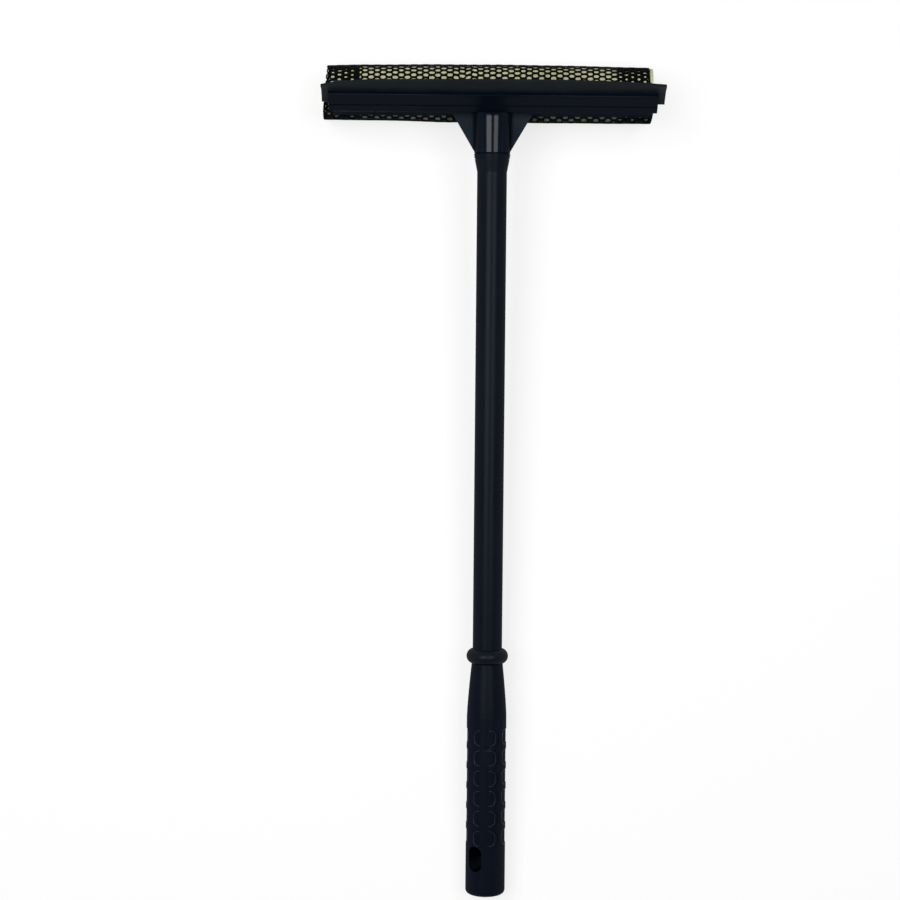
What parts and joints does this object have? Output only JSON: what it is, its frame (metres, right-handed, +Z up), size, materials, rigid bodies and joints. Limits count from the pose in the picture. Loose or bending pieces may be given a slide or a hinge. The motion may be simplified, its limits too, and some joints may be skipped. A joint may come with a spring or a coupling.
{
  "type": "window scrubber",
  "caption": "Hand window scrubber: a rubber wiping blade in a slide-in channel and a net-covered sponge on one T-shaped head, with a long straight tube handle and a grip.",
  "frame": {"origin": "middle of the whole tool's bounding box, on the surface that it lies on", "axes": "+Y along the handle, from the grip's end towards the head; +X along the head; +Z up, away from the surface, with the tool lying on its netted sponge and the end of its grip and the blade on top"},
  "size_m": [0.2116, 0.5282, 0.0776],
  "materials": {
    "head_plastic": "gloss",
    "blade_rubber": "satin",
    "foam": "matte",
    "netting": "satin",
    "tube_plastic": "satin",
    "grip_plastic": "matte",
    "inner_plastic": "satin",
    "screw_steel": "satin"
  },
  "bodies": {
    "scrubber": {"head_frame": "head_plastic", "blade_channel": "head_plastic", "channel_screws": "screw_steel", "sponge": "foam", "mesh_cover": "netting", "sponge_backing": "inner_plastic", "backing_screws": "screw_steel", "joint_plug": "inner_plastic", "joint_screw": "screw_steel", "handle_tube": "tube_plastic", "grip_ring": "grip_plastic", "grip": "grip_plastic"},
    "blade": {"rubber_blade": "blade_rubber"}
  },
  "joints": [
    {"name": "blade_slide", "type": "slide", "parent": "scrubber", "child": "blade", "axis": [1, 0, 0], "range_m": [-0.206, 0.206]}
  ]
}
